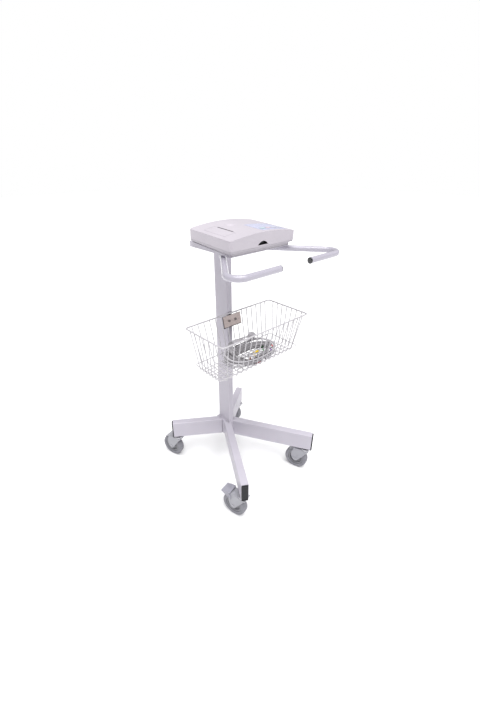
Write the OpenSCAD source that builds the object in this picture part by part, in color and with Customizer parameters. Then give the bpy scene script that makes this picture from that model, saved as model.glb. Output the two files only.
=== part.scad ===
// ECG recorder on a four-leg trolley with a wire basket. Millimetres, +Z up, origin on the floor.
// The user stands on the -Y side. The trolley is mirrored about the plane x = 0.

/* [Layout] */
// Distance of the column axis behind the middle of the base
col_y = 64.35; // [60:0.05:70]

/* [Base] */
// Height of the top face of the legs above the floor
leg_top = 200; // [198:1:200]
// Height of the leg tube section
leg_h = 78; // [76:1:78]
// Width of the leg tube section
leg_w = 30; // [28:1:32]
// Wall of the leg tubes
leg_wall = 2.5; // [2:0.5:3]
// Length of the front legs from the column axis
front_leg_len = 388; // [380:1:400]
// Angle of the front legs from the X axis, towards the user
front_leg_angle = 59.6; // [58:0.1:61]
// Length of the rear legs from the column axis
rear_leg_len = 241; // [235:1:250]
// Angle of the rear legs from the X axis, away from the user
rear_leg_angle = 34.2; // [33:0.1:36]
// Half size of the hub block along X
hub_x = 24; // [24:1:28]
// Half size of the hub block along Y
hub_y = 38; // [38:1:42]

/* [Casters] */
// Radius of the tyre
wheel_r = 50; // [49:0.5:50.5]
// Width of the tyre
tyre_w = 30; // [28:1:30]
// Trail of the wheel axle behind the swivel axis
trail = 38; // [36:1:40]
// Distance of the swivel axis from the end of the leg
stem_inset = 21; // [20:1:24]
// Swivel direction of the braked front left caster
swivel_front_left = 103; // [0:1:359]
// Swivel direction of the other casters
swivel_rest = 107; // [0:1:359]

/* [Column] */
// Width of the column along X
col_w = 24; // [22:1:26]
// Depth of the column along Y
col_d = 72; // [68:1:74]
// Wall of the column tube
col_wall = 2.5; // [2:0.5:3]
// Corner radius of the column tube
col_r = 4; // [3:0.5:5]

/* [Tray] */
// Half width of the tray
tray_x = 124; // [120:1:126]
// Depth of the tray along Y
tray_d = 205; // [200:1:208]
// Distance of the rear edge of the tray behind the column axis
tray_back = 13; // [10:1:16]
// Height of the bottom edge of the tray
tray_z = 971; // [971:0.5:972]
// Height of the tray skirt at the front
tray_front_h = 3; // [3:0.5:4]
// Height of the tray skirt at the rear
tray_rear_h = 18; // [17:0.5:19]
// Sheet thickness of the tray
tray_t = 1.6; // [1.5:0.1:2]

/* [Handles] */
// Outer radius of the handle tube
tube_r = 9.5; // [9:0.25:9.5]
// Wall of the handle tube
tube_wall = 1.8; // [1.5:0.1:2]
// X of the handle corner before rounding
handle_x = 259; // [255:1:265]
// Distance of the grips in front of the column axis
handle_y = 329; // [322:1:332]
// X of the free end of the grip
grip_end_x = 66; // [60:1:72]
// Bend radius of the handle centre line
bend_r = 34; // [32:1:40]

/* [Basket] */
// Half length of the rim
rim_x = 204; // [200:1:206]
// Half depth of the rim
rim_y = 99; // [97:0.5:99]
// Half length of the basket floor
floor_x = 185.5; // [182:0.5:188]
// Half depth of the basket floor
floor_y = 66; // [64:1:68]
// Height of the rim above the ground
rim_z = 721; // [712:1:727]
// Height of the basket floor above the ground
floor_z = 571; // [567:1:577]
// Distance of the basket centre in front of the column axis
basket_y = 139.5; // [139:0.5:142]
// Radius of the rim wire
rim_r = 2.8; // [2.5:0.1:3]
// Radius of the thin wires
wire_r = 1.75; // [1.5:0.05:1.8]
// Number of upright wires on a long wall
long_wires = 15; // [13:2:15]
// Number of upright wires on a short wall
short_wires = 7; // [5:2:7]

/* [Recorder] */
// Half width of the upper shell
rec_x = 136.5; // [135:0.5:137]
// Half depth of the upper shell
rec_y = 99.5; // [98:0.5:100]
// Height of the shell at its side edges
rec_h = 34; // [33:0.5:35]
// Rise of the arched top above the side edges
rec_arch = 12.2; // [11.5:0.1:13]
// Wall of the mouldings
rec_wall = 2.5; // [2.2:0.1:2.8]
// Height of the middle of the shell's lower edge
rec_z = 990.7; // [990.5:0.1:991]
// Distance of the recorder centre in front of the column axis
rec_off = 103.7; // [103:0.1:104.5]
// Tilt of the recorder towards the user
rec_tilt = 3.2; // [3.1:0.1:3.3]
// Travel of a key
key_travel = 0.8; // [0.6:0.1:1]

/* [Paper] */
// Radius of a full paper roll
roll_r = 17; // [14:0.5:17]
// Width of the paper
paper_w = 80; // [78:1:80]
// Radius of the platen roller
platen_r = 6; // [5.5:0.1:6]

/* [Patient cable] */
// Half length of the coil
coil_x = 116; // [112:1:120]
// Half depth of the coil
coil_y = 62; // [58:1:62]
// Height of the middle of the coil
coil_h = 43; // [40:1:46]
// Rise of the coil's top from its middle to its rear edge
coil_rise = 11; // [8:1:14]
// Width of the coil's bundle
coil_band = 34; // [30:1:36]

/* [Hidden] */
fine = 48;
wire_fn = 16;
arch_fn = 360;
eps = 0.01;
leg_z = leg_top - leg_h;
hub_wall = 4;
hub_top_t = 6;
foot_h = 30;
column_bolt_r = 5;
column_bolt_gap = 0.3;
column_bolt_y = 20;
cap_t = 5;
cap_lip_t = 3;
cap_lip_len = 36;
cap_inset = 2.6;
cap_plug_len = 10;
cap_play = 0.3;
stem_r = 6;
run_gap = 0.08;
head_h = 7;
flange_z = leg_z - cap_lip_t - head_h;
fork_top = flange_z - 0.4;
fork_t = 3.8;
fork_in = tyre_w / 2 + 1.2;
fork_out = fork_in + 2.8;
axle_r = 5;
rim_wheel_r = 34;
pivot_u = 50;
pivot_z = 88;
plate_t = 3.5;
head_z = tray_z - plate_t;
tube_z = head_z - tube_r - 0.3;
tray_slope = atan((tray_rear_h - tray_front_h) / tray_d);
tray_front_y = tray_back - tray_d;
run_angle = 52;
run_len = 345;
bend_lap = 0.5;
bend_step = 0.05;
arch_r = (rec_x * rec_x + rec_arch * rec_arch) / (2 * rec_arch);
arch_top = rec_h + rec_arch;
base_x = 126;
base_back = 91;
base_front = 91;
base_rear_h = 5.5;
seam_z = 4.6;
seam_gap = 0.4;
seam_inset = 0.7;
base_front_h = 10.3;
shell_corner = 8;
door_x0 = -118;
door_x1 = -77.2;
door_y0 = -51;
door_y1 = 47;
slot_w = 5.4;
slot_y0 = -38;
slot_y1 = 36;
door_gap = 0.6;
door_barrel_r = 2;
door_pin_r = 1;
roll_x = -103;
roll_z = 13;
core_r = 6;
platen_x = -80;
platen_z = 31.5;
platen_pin_r = 2.5;
roll_post_gap = 1;
key_w = 17;
key_d = 13;
key_play = 0.4;
key_xs = [22, 46, 70, 94];
key_y = -64;
pad_x0 = 4;
pad_x1 = 112;
pad_y0 = -84;
pad_y1 = 2;
pad_t = 0.5;
board_z = 20;
board_t = 1.6;
recess_x = -7.5;
recess_z = 8.5;
recess_rise = 11.5;
recess_w = 44;
recess_r = (recess_w * recess_w / 4 + recess_rise * recess_rise) / (2 * recess_rise);
coil_mid_x = 10;
coil_mid_y = -basket_y;
coil_z = floor_z + wire_r + 0.05;
coil_tilt = atan(coil_rise / (coil_y + 1));
coil_ride_y = coil_y - coil_band / 2;
coil_ride_z = coil_h + coil_ride_y * tan(coil_tilt);
function case_floor(y) =
  (y + base_front + 1) * (base_front_h - base_rear_h) / (base_front + base_back + 2) - base_front_h;
function arch_at(x) = arch_top - arch_r + sqrt(arch_r * arch_r - x * x);
saddle_ts = [285, 330];
saddle_screw = 17.6;
saddle_half = 8;
tray_screw_x = 24;
tray_screw_ys = [-110, 4];
wall_h = rim_z - floor_z;
low = wire_r - 0.3;
back_slope = atan((rim_y - floor_y) / wall_h);
clamp_z = rim_z - 26;
clamp_y = rim_y - 26 * tan(back_slope);
clamp_h = 42;
clamp_x = 42;
clamp_screw_x = 15;
rim_corner = 10;
dimple_x = -31;
dimple_y = 24;
dimple_r = 17;
dimple_deep = 5;
dimple_ball_r = (dimple_r * dimple_r + dimple_deep * dimple_deep) / (2 * dimple_deep);
inlet_x = 60;
switch_x = 96;
switch_y = rec_y - rec_wall / 2;
switch_pin_r = 0.8;
door_axis_z = arch_at(door_x0) - 1.2;

white_grey = [0.86, 0.85, 0.87];
steel_grey = [0.78, 0.77, 0.8];
black = [0.09, 0.09, 0.1];
tyre_grey = [0.5, 0.5, 0.52];
fork_grey = [0.72, 0.72, 0.75];
stainless = [0.72, 0.7, 0.68];
zinc = [0.7, 0.71, 0.72];
shell_white = [0.9, 0.89, 0.92];
case_white = [0.82, 0.8, 0.84];
key_blue = [0.72, 0.78, 0.9];
board_green = [0.1, 0.35, 0.2];
paper_white = [0.95, 0.94, 0.9];
cable_grey = [0.62, 0.61, 0.62];

module at_column() {
  translate([0, col_y, 0])
    children();
}

module at_recorder() {
  translate([0, col_y - rec_off, rec_z])
    rotate([rec_tilt, 0, 0])
      children();
}

module rounded(x, y, r) {
  square([2 * x - 2 * r, 2 * y], center = true);
  square([2 * x, 2 * y - 2 * r], center = true);
  for (i = [-1, 1])
    for (j = [-1, 1])
      translate([i * (x - r), j * (y - r)])
        circle(r = r, $fn = fine);
}

module wire(p, q, r) {
  d = q - p;
  len = norm(d);
  translate(p)
    rotate([0, acos(d[2] / len), atan2(d[1], d[0])])
      cylinder(h = len, r = r, $fn = wire_fn);
}

// Base

module base_hub() {
  color(white_grey)
    at_column()
      translate([0, 0, leg_z])
        difference() {
          translate([-hub_x, -hub_y, 0])
            cube([2 * hub_x, 2 * hub_y, leg_h]);
          translate([-hub_x + hub_wall, -hub_y + hub_wall, -1])
            cube([2 * (hub_x - hub_wall), 2 * (hub_y - hub_wall), leg_h - hub_top_t + 1]);
          for (s = [-1, 1])
            translate([0, s * column_bolt_y, leg_h - 2 * hub_top_t])
              cylinder(h = 3 * hub_top_t, r = column_bolt_r + column_bolt_gap, $fn = fine);
        }
}

module leg(angle, len) {
  color(white_grey)
    at_column()
      difference() {
        rotate([0, 0, angle])
          difference() {
            translate([0, -leg_w / 2, leg_z])
              cube([len, leg_w, leg_h]);
            translate([-1, -leg_w / 2 + leg_wall, leg_z + leg_wall])
              cube([len + 2, leg_w - 2 * leg_wall, leg_h - 2 * leg_wall]);
            translate([len - stem_inset, 0, leg_z - 1])
              cylinder(h = leg_wall + 2, r = stem_r + cap_play, $fn = fine);
          }
        translate([-hub_x, -hub_y, leg_z - 1])
          cube([2 * hub_x, 2 * hub_y, leg_h + 2]);
      }
}

module leg_front_left() {
  leg(180 + front_leg_angle, front_leg_len);
}

module leg_front_right() {
  leg(-front_leg_angle, front_leg_len);
}

module leg_rear_left() {
  leg(180 - rear_leg_angle, rear_leg_len);
}

module leg_rear_right() {
  leg(rear_leg_angle, rear_leg_len);
}

module each_leg_end() {
  for (p = [[180 + front_leg_angle, front_leg_len], [-front_leg_angle, front_leg_len],
    [180 - rear_leg_angle, rear_leg_len], [rear_leg_angle, rear_leg_len]])
    rotate([0, 0, p[0]])
      translate([p[1], 0, 0])
        children();
}

module leg_cap() {
  plug_y = leg_w - 2 * leg_wall - 2 * cap_play;
  plug_z = leg_h - 2 * leg_wall - 2 * cap_play;
  plate_y = leg_w - 2 * cap_inset;
  translate([0, -plate_y / 2, leg_z - cap_lip_t])
    cube([cap_t, plate_y, leg_h + cap_lip_t - cap_inset]);
  translate([-cap_plug_len, -plug_y / 2, leg_z + leg_wall + cap_play])
    cube([cap_plug_len + eps, plug_y, plug_z]);
  difference() {
    translate([-cap_lip_len, -plate_y / 2, leg_z - cap_lip_t])
      cube([cap_lip_len + eps, plate_y, cap_lip_t]);
    translate([-stem_inset, 0, leg_z - 2 * cap_lip_t])
      cylinder(h = 3 * cap_lip_t, r = stem_r + cap_play, $fn = fine);
  }
}

module leg_caps() {
  color(black)
    at_column()
      each_leg_end()
        leg_cap();
}

// Casters

module caster_stems() {
  color(zinc)
    at_column()
      each_leg_end()
        translate([-stem_inset, 0, 0]) {
          translate([0, 0, fork_top - fork_t - 4.6])
            cylinder(h = leg_z + 50 - fork_top + fork_t + 4.6, r = stem_r, $fn = fine);
          translate([0, 0, flange_z + 3])
            cylinder(h = head_h - 3, r = 20, $fn = fine);
          translate([0, 0, flange_z])
            cylinder(h = 3 + eps, r = 15, $fn = fine);
          translate([0, 0, fork_top - fork_t - 4.6])
            cylinder(h = 4.2, r = 9, $fn = fine);
          translate([0, 0, leg_z + leg_wall])
            cylinder(h = 8, r = 10, $fn = fine);
        }
}

module at_caster(leg_angle, len, swivel) {
  at_column()
    rotate([0, 0, leg_angle])
      translate([len - stem_inset, 0, 0])
        rotate([0, 0, swivel - leg_angle])
          children();
}

module across(w) {
  rotate([90, 0, 0])
    translate([0, 0, -w / 2])
      linear_extrude(height = w)
        children();
}

module fork_cheek() {
  polygon([[-17, fork_top], [44, fork_top], [51, 98], [57, 84], [57, 66], [52, 51], [46, 42], [38, 38],
    [30, 41], [22, 52], [8, 73], [-8, 98]]);
}

module fork_hood() {
  polygon([[-17, fork_top], [44, fork_top], [62, fork_top - 9], [68, fork_top - 15], [66.4, fork_top - 16.4],
    [60.4, fork_top - 12], [42.6, fork_top - fork_t], [-17, fork_top - fork_t]]);
}

module caster_fork(braked) {
  color(fork_grey)
    difference() {
      union() {
        across(2 * fork_out)
          fork_hood();
        for (s = [-1, 1])
          translate([0, s * (fork_in + fork_out) / 2, 0])
            across(fork_out - fork_in)
              fork_cheek();
        translate([trail, 0, wheel_r])
          rotate([90, 0, 0])
            cylinder(h = 2 * fork_out + 3, r = axle_r, center = true, $fn = fine);
        for (s = [-1, 1])
          translate([trail, s * (fork_out + 0.8), wheel_r])
            rotate([90, 0, 0])
              cylinder(h = 2.2, r = axle_r + 3, center = true, $fn = fine);
        if (braked)
          for (s = [-1, 1])
            translate([pivot_u, s * (fork_out + 1.7), pivot_z])
              rotate([90, 0, 0])
                cylinder(h = 3.6, r = 3, center = true, $fn = fine);
      }
      translate([0, 0, fork_top - 2 * fork_t])
        cylinder(h = 3 * fork_t, r = stem_r + run_gap, $fn = fine);
    }
}

module fork_front_left() {
  at_caster(180 + front_leg_angle, front_leg_len, swivel_front_left)
    caster_fork(true);
}

module fork_front_right() {
  at_caster(-front_leg_angle, front_leg_len, swivel_rest)
    caster_fork(false);
}

module fork_rear_left() {
  at_caster(180 - rear_leg_angle, rear_leg_len, swivel_rest)
    caster_fork(false);
}

module fork_rear_right() {
  at_caster(rear_leg_angle, rear_leg_len, swivel_rest)
    caster_fork(true);
}

module caster_wheel() {
  hub_w = tyre_w / 2 + 0.7;
  color(fork_grey)
    translate([trail, 0, wheel_r])
      rotate([90, 0, 0])
        rotate_extrude($fn = 2 * fine)
          polygon([[axle_r + run_gap, -hub_w], [12, -hub_w], [14, -4], [26, -4], [28, -11],
            [rim_wheel_r, -11], [rim_wheel_r, 11], [28, 11], [26, 4], [14, 4], [12, hub_w],
            [axle_r + run_gap, hub_w]]);
}

module caster_tyre() {
  w = tyre_w / 2;
  r = wheel_r;
  color(tyre_grey)
    translate([trail, 0, wheel_r])
      rotate([90, 0, 0])
        rotate_extrude($fn = 2 * fine)
          polygon([[rim_wheel_r + 0.1, -11], [rim_wheel_r + 1, -w + 1], [r - 6, -w], [r - 3, -w + 0.6],
            [r - 1.4, -w + 2.4], [r - 0.4, -w + 5], [r, -w + 8], [r, w - 8], [r - 0.4, w - 5],
            [r - 1.4, w - 2.4], [r - 3, w - 0.6], [r - 6, w], [rim_wheel_r + 1, w - 1],
            [rim_wheel_r + 0.1, 11]]);
}

module wheel_front_left() {
  at_caster(180 + front_leg_angle, front_leg_len, swivel_front_left)
    caster_wheel();
}

module wheel_front_right() {
  at_caster(-front_leg_angle, front_leg_len, swivel_rest)
    caster_wheel();
}

module wheel_rear_left() {
  at_caster(180 - rear_leg_angle, rear_leg_len, swivel_rest)
    caster_wheel();
}

module wheel_rear_right() {
  at_caster(rear_leg_angle, rear_leg_len, swivel_rest)
    caster_wheel();
}

module tyre_front_left() {
  at_caster(180 + front_leg_angle, front_leg_len, swivel_front_left)
    caster_tyre();
}

module tyre_front_right() {
  at_caster(-front_leg_angle, front_leg_len, swivel_rest)
    caster_tyre();
}

module tyre_rear_left() {
  at_caster(180 - rear_leg_angle, rear_leg_len, swivel_rest)
    caster_tyre();
}

module tyre_rear_right() {
  at_caster(rear_leg_angle, rear_leg_len, swivel_rest)
    caster_tyre();
}

module brake_pedal() {
  ear_in = fork_out + 0.5;
  ear_out = ear_in + 2.4;
  color(fork_grey) {
    across(2 * ear_out)
      polygon([[50, 112.4], [58, 113], [63, 112.2], [86, 104.6], [90, 104.4], [90.4, 107], [86, 108.4],
        [64, 115.6], [56, 116.4], [50, 115.8]]);
    for (s = [-1, 1])
      translate([0, s * (ear_in + ear_out) / 2, 0])
        difference() {
          across(ear_out - ear_in)
            polygon([[44, 86], [47, 82], [53, 82], [57, 86], [68, 94], [80, 101], [90, 105], [88, 107.4],
              [64, 115], [54, 115.6], [48, 106], [44, 96]]);
          translate([pivot_u, 0, pivot_z])
            rotate([90, 0, 0])
              cylinder(h = 8, r = 3 + run_gap, center = true, $fn = fine);
        }
  }
}

module pedal_front_left() {
  at_caster(180 + front_leg_angle, front_leg_len, swivel_front_left)
    brake_pedal();
}

module pedal_rear_right() {
  at_caster(rear_leg_angle, rear_leg_len, swivel_rest)
    brake_pedal();
}

// Column and head

module column() {
  in_x = col_w / 2 - col_wall;
  in_y = col_d / 2 - col_wall;
  color(white_grey)
    at_column() {
      difference() {
        translate([0, 0, leg_top])
          linear_extrude(height = head_z - leg_top)
            rounded(col_w / 2, col_d / 2, col_r);
        translate([0, 0, leg_top + foot_h])
          linear_extrude(height = head_z)
            rounded(in_x, in_y, col_r - 2);
        for (s = [-1, 1])
          translate([0, s * column_bolt_y, leg_top - 1])
            cylinder(h = foot_h - 4, r = column_bolt_r + column_bolt_gap, $fn = fine);
      }
    }
}

module column_bolts() {
  color(zinc)
    at_column()
      for (s = [-1, 1])
        translate([0, s * column_bolt_y, 0]) {
          translate([0, 0, leg_top - hub_top_t - 10])
            cylinder(h = 10, r = 8, $fn = fine);
          translate([0, 0, leg_top - hub_top_t - eps])
            cylinder(h = hub_top_t + 20, r = column_bolt_r, $fn = fine);
        }
}

function run_point(s, t) = [s * (handle_x - t * cos(run_angle)), -handle_y + t * sin(run_angle)];

module head_plate() {
  color(white_grey)
    at_column()
      difference() {
        translate([-108, -136, head_z])
          cube([216, 172, plate_t]);
        for (x = [-tray_screw_x, tray_screw_x])
          for (y = tray_screw_ys)
            translate([x, y, head_z - 1])
              cylinder(h = plate_t + 2, r = 2.5 + cap_play, $fn = fine);
        for (s = [-1, 1])
          for (t = saddle_ts)
            translate([run_point(s, t)[0], run_point(s, t)[1], head_z - 1])
              rotate([0, 0, s * (90 - run_angle)])
                for (k = [-1, 1])
                  translate([k * saddle_screw, 0, 0])
                    cylinder(h = plate_t + 2, r = 2.5 + cap_play, $fn = fine);
      }
}

module tray_wedge(inset, drop) {
  y0 = tray_front_y + inset;
  y1 = tray_back - inset;
  h0 = tray_front_h + inset * tan(tray_slope) - drop;
  h1 = tray_rear_h - inset * tan(tray_slope) - drop;
  translate([-tray_x + inset, 0, 0])
    rotate([90, 0, 90])
      linear_extrude(height = 2 * (tray_x - inset))
        polygon([[y0, tray_z - drop], [y1, tray_z - drop], [y1, tray_z + h1], [y0, tray_z + h0]]);
}

module tray() {
  color(white_grey)
    at_column()
      difference() {
        union() {
          difference() {
            tray_wedge(0, 0);
            tray_wedge(tray_t, tray_t);
          }
          intersection() {
            tray_wedge(0, 0);
            for (x = [-tray_screw_x, tray_screw_x])
              for (y = tray_screw_ys)
                translate([x, y, tray_z])
                  cylinder(h = tray_rear_h, r = 6, $fn = fine);
          }
        }
        for (x = [-tray_screw_x, tray_screw_x])
          for (y = tray_screw_ys)
            translate([x, y, tray_z - 1])
              cylinder(h = 8.2, r = 2.5 + cap_play, $fn = fine);
      }
}

module pan_screw(len) {
  translate([0, 0, -1])
    cylinder(h = len + 1, r = 2.5, $fn = fine);
  translate([0, 0, -2.65])
    cylinder(h = 2.6, r = 4.6, $fn = fine);
}

module underframe_screws() {
  color(zinc)
    at_column() {
      for (x = [-tray_screw_x, tray_screw_x])
        for (y = tray_screw_ys)
          translate([x, y, head_z])
            pan_screw(plate_t + 6);
      for (s = [-1, 1])
        for (t = saddle_ts)
          translate([run_point(s, t)[0], run_point(s, t)[1], head_z - 2.5])
            rotate([0, 0, s * (90 - run_angle)])
              for (k = [-1, 1])
                translate([k * saddle_screw, 0, 0])
                  pan_screw(2.5 + plate_t - 0.4);
    }
}

// Handles

module straight_tube(start, len) {
  translate([start, 0, 0])
    rotate([0, 90, 0])
      difference() {
        cylinder(h = len, r = tube_r, $fn = fine);
        translate([0, 0, -1])
          cylinder(h = len + 2, r = tube_r - tube_wall, $fn = fine);
      }
}

module handle_tube() {
  turn = 180 - run_angle;
  setback = bend_r * tan(turn / 2);
  rotate([0, 0, turn])
    straight_tube(setback - bend_lap, run_len - setback + bend_lap);
  translate([-setback, bend_r, 0])
    rotate([0, 0, -90])
      rotate_extrude(angle = turn, $fn = 2 * fine)
        translate([bend_r, 0])
          difference() {
            circle(r = tube_r + bend_step, $fn = fine);
            circle(r = tube_r - tube_wall - bend_step, $fn = fine);
          }
  translate([-setback + bend_lap, 0, 0])
    mirror([1, 0, 0])
      straight_tube(0, handle_x - grip_end_x - setback + bend_lap);
}

module handle_right() {
  color(steel_grey)
    at_column()
      translate([handle_x, -handle_y, tube_z])
        handle_tube();
}

module handle_left() {
  color(steel_grey)
    at_column()
      translate([-handle_x, -handle_y, tube_z])
        mirror([1, 0, 0])
          handle_tube();
}

module handle_caps() {
  plug = tube_r - tube_wall - cap_play;
  color(black)
    at_column()
      for (s = [-1, 1])
        translate([s * grip_end_x, -handle_y, tube_z])
          rotate([0, -s * 90, 0]) {
            rotate_extrude($fn = fine)
              polygon([[0, 0], [tube_r, 0], [tube_r, 2], [tube_r - 1.2, 3.2], [tube_r - 3, 4], [0, 4.4]]);
            translate([0, 0, -12])
              cylinder(h = 12 + eps, r = plug, $fn = fine);
          }
}

module saddle() {
  in_r = tube_r + cap_play;
  out_r = in_r + 2.5;
  top = head_z - tube_z;
  rotate([90, 0, 0])
    translate([0, 0, -saddle_half])
      linear_extrude(height = 2 * saddle_half)
        difference() {
          union() {
            circle(r = out_r, $fn = fine);
            translate([-out_r, 0])
              square([2 * out_r, top]);
            translate([-saddle_screw - 6, top - 2.5])
              square([2 * saddle_screw + 12, 2.5]);
          }
          circle(r = in_r, $fn = fine);
          translate([-in_r, 0])
            square([2 * in_r, top + 1]);
          translate([-out_r - 2, top])
            square([2 * out_r + 4, out_r]);
        }
}

module handle_saddles() {
  color(zinc)
    at_column()
      for (s = [-1, 1])
        for (t = saddle_ts)
          translate([run_point(s, t)[0], run_point(s, t)[1], tube_z])
            rotate([0, 0, s * (90 - run_angle)])
              difference() {
                saddle();
                for (k = [-1, 1])
                  translate([k * saddle_screw, 0, head_z - tube_z - 4])
                    cylinder(h = 5, r = 2.5 + cap_play, $fn = fine);
              }
}

// Basket

module at_basket() {
  translate([0, col_y - basket_y, 0])
    children();
}

module basket_rim() {
  r = rim_corner;
  color(white_grey)
    at_basket()
      translate([0, 0, rim_z]) {
        for (s = [-1, 1]) {
          wire([-rim_x + r, s * rim_y, 0], [rim_x - r, s * rim_y, 0], rim_r);
          wire([s * rim_x, -rim_y + r, 0], [s * rim_x, rim_y - r, 0], rim_r);
        }
        for (p = [[1, 1, 0], [-1, 1, 90], [-1, -1, 180], [1, -1, 270]])
          translate([p[0] * (rim_x - r), p[1] * (rim_y - r), 0])
            rotate([0, 0, p[2]])
              rotate_extrude(angle = 90, $fn = fine)
                translate([r, 0])
                  circle(r = rim_r, $fn = wire_fn);
      }
}

module wall(s, half_top, half_low, off_top, off_low, n) {
  for (i = [-(n - 1) / 2 : (n - 1) / 2]) {
    f = 2 * i / (n + 1);
    wire([f * half_low, s * off_low, floor_z + low], [f * half_top, s * off_top, rim_z - rim_r + 0.3], wire_r);
  }
  g = 14 / wall_h;
  y = s * (off_low + g * (off_top - off_low) + 1.4 * wire_r);
  h = half_low + g * (half_top - half_low) - 4;
  wire([-h, y, floor_z + 14], [h, y, floor_z + 14], wire_r);
}

module basket_back() {
  color(white_grey)
    at_basket()
      wall(1, rim_x, floor_x, rim_y, floor_y, long_wires);
}

module basket_front() {
  color(white_grey)
    at_basket()
      wall(-1, rim_x, floor_x, rim_y, floor_y, long_wires);
}

module basket_left() {
  color(white_grey)
    at_basket()
      rotate([0, 0, 90])
        wall(1, rim_y, floor_y, rim_x, floor_x, short_wires);
}

module basket_right() {
  color(white_grey)
    at_basket()
      rotate([0, 0, 90])
        wall(-1, rim_y, floor_y, rim_x, floor_x, short_wires);
}

module basket_floor() {
  ny = (short_wires + 1) / 2;
  nx = (long_wires + 1) / 2;
  lift = 2 * wire_r - 0.5;
  color(white_grey)
    at_basket()
      translate([0, 0, floor_z]) {
        for (i = [-nx : nx])
          wire([i / nx * floor_x, -floor_y - wire_r, 0], [i / nx * floor_x, floor_y + wire_r, 0], wire_r);
        for (j = [-ny : ny])
          wire([-floor_x - wire_r, j / ny * floor_y, -lift], [floor_x + wire_r, j / ny * floor_y, -lift], wire_r);
      }
}

module basket_clamp_plate() {
  color(stainless)
    at_basket()
      translate([0, clamp_y, clamp_z])
        rotate([-back_slope, 0, 0])
          translate([0, -wire_r - 0.1, 0])
            difference() {
              translate([-clamp_x, -2, -clamp_h / 2])
                cube([2 * clamp_x, 2, clamp_h]);
              for (s = [-1, 1])
                translate([s * clamp_screw_x, 1, 0])
                  rotate([90, 0, 0])
                    cylinder(h = 4, r = 2.5 + cap_play, $fn = fine);
            }
}

module basket_wedge() {
  w = col_w / 2 + 8;
  face = basket_y - col_d / 2;
  half = clamp_h / 2 - 4;
  color(zinc)
    at_basket()
      difference() {
        translate([-w, 0, 0])
          rotate([90, 0, 90])
            linear_extrude(height = 2 * w)
              polygon([[clamp_y + half * tan(back_slope) + 2 * wire_r, clamp_z + half],
                [clamp_y - half * tan(back_slope) + 2 * wire_r, clamp_z - half],
                [face - 0.05, clamp_z - half], [face - 0.05, clamp_z + half]]);
        for (s = [-1, 1])
          translate([s * clamp_screw_x, clamp_y, clamp_z])
            rotate([-90 - back_slope, 0, 0])
              translate([0, 0, -10])
                cylinder(h = 30, r = 2.5 + cap_play, $fn = fine);
      }
}

module basket_screws() {
  color(zinc)
    at_basket()
      for (s = [-1, 1])
        translate([s * clamp_screw_x, clamp_y, clamp_z])
          rotate([-90 - back_slope, 0, 0])
            translate([0, 0, -wire_r - 2.1])
              pan_screw(9);
}

// Recorder

module arch_block(r, x, y, z0) {
  intersection() {
    translate([0, 0, z0])
      linear_extrude(height = arch_top + 10)
        rounded(x, y, shell_corner - (rec_x - x) / 2);
    translate([0, y + 1, arch_top - arch_r])
      rotate([90, 0, 0])
        cylinder(h = 2 * y + 2, r = r, $fn = arch_fn);
  }
}

module upper_shell() {
  inner_x = rec_x - rec_wall;
  inner_y = rec_y - rec_wall;
  color(shell_white)
    at_recorder() {
      difference() {
        union() {
          difference() {
            arch_block(arch_r, rec_x, rec_y, seam_z + seam_gap);
            arch_block(arch_r - rec_wall, inner_x, inner_y, -1);
          }
          intersection() {
            arch_block(arch_r, rec_x, rec_y, seam_z + seam_gap);
            translate([dimple_x, dimple_y, arch_at(dimple_x) - dimple_deep - rec_wall])
              cylinder(h = 3 * dimple_deep, r = dimple_r, $fn = 2 * fine);
          }
        }
        translate([door_x0 - door_gap, door_y0 - door_gap, rec_h - 6])
          cube([door_x1 - door_x0 + 2 * door_gap, door_y1 - door_y0 + 2 * door_gap, 20]);
        translate([door_x1, slot_y0, rec_h - 6])
          cube([slot_w, slot_y1 - slot_y0, 20]);
        translate([door_x0, (door_y0 + door_y1) / 2, door_axis_z])
          rotate([90, 0, 0])
            cylinder(h = door_y1 - door_y0 + 2 * door_gap, r = door_barrel_r + 0.5, center = true, $fn = fine);
        for (x = key_xs)
          translate([x - key_w / 2 - key_play, key_y - key_d / 2 - key_play, rec_h - 6])
            cube([key_w + 2 * key_play, key_d + 2 * key_play, 30]);
        translate([dimple_x, dimple_y, arch_at(dimple_x) + dimple_ball_r - dimple_deep])
          sphere(r = dimple_ball_r, $fn = 2 * fine);
        recess_cut(rec_y + 1, 8);
        translate([inlet_x - 14.3, inner_y - 5, 6])
          cube([28.6, 12, 21]);
        translate([switch_x - 7, inner_y - 5, 8])
          cube([14, 12, 16]);
        translate([switch_x - 8.2, switch_y, 16])
          rotate([0, 90, 0])
            cylinder(h = 16.4, r = switch_pin_r + run_gap, $fn = fine);
      }
      for (s = [-1, 1])
        translate([door_x0, (door_y0 + door_y1) / 2 + s * ((door_y1 - door_y0) / 2 + door_gap - 2), door_axis_z])
          rotate([90, 0, 0])
            cylinder(h = 6, r = door_pin_r, center = true, $fn = fine);
    }
}

module recess_outline() {
  intersection() {
    translate([recess_x, recess_z + recess_rise - recess_r])
      circle(r = recess_r, $fn = 2 * fine);
    translate([recess_x - recess_w, recess_z])
      square([2 * recess_w, recess_rise + 1]);
  }
}

module recess_cut(from_y, depth) {
  translate([0, -from_y, 0])
    rotate([90, 0, 0])
      translate([0, 0, -depth])
        linear_extrude(height = depth)
          recess_outline();
}

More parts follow.
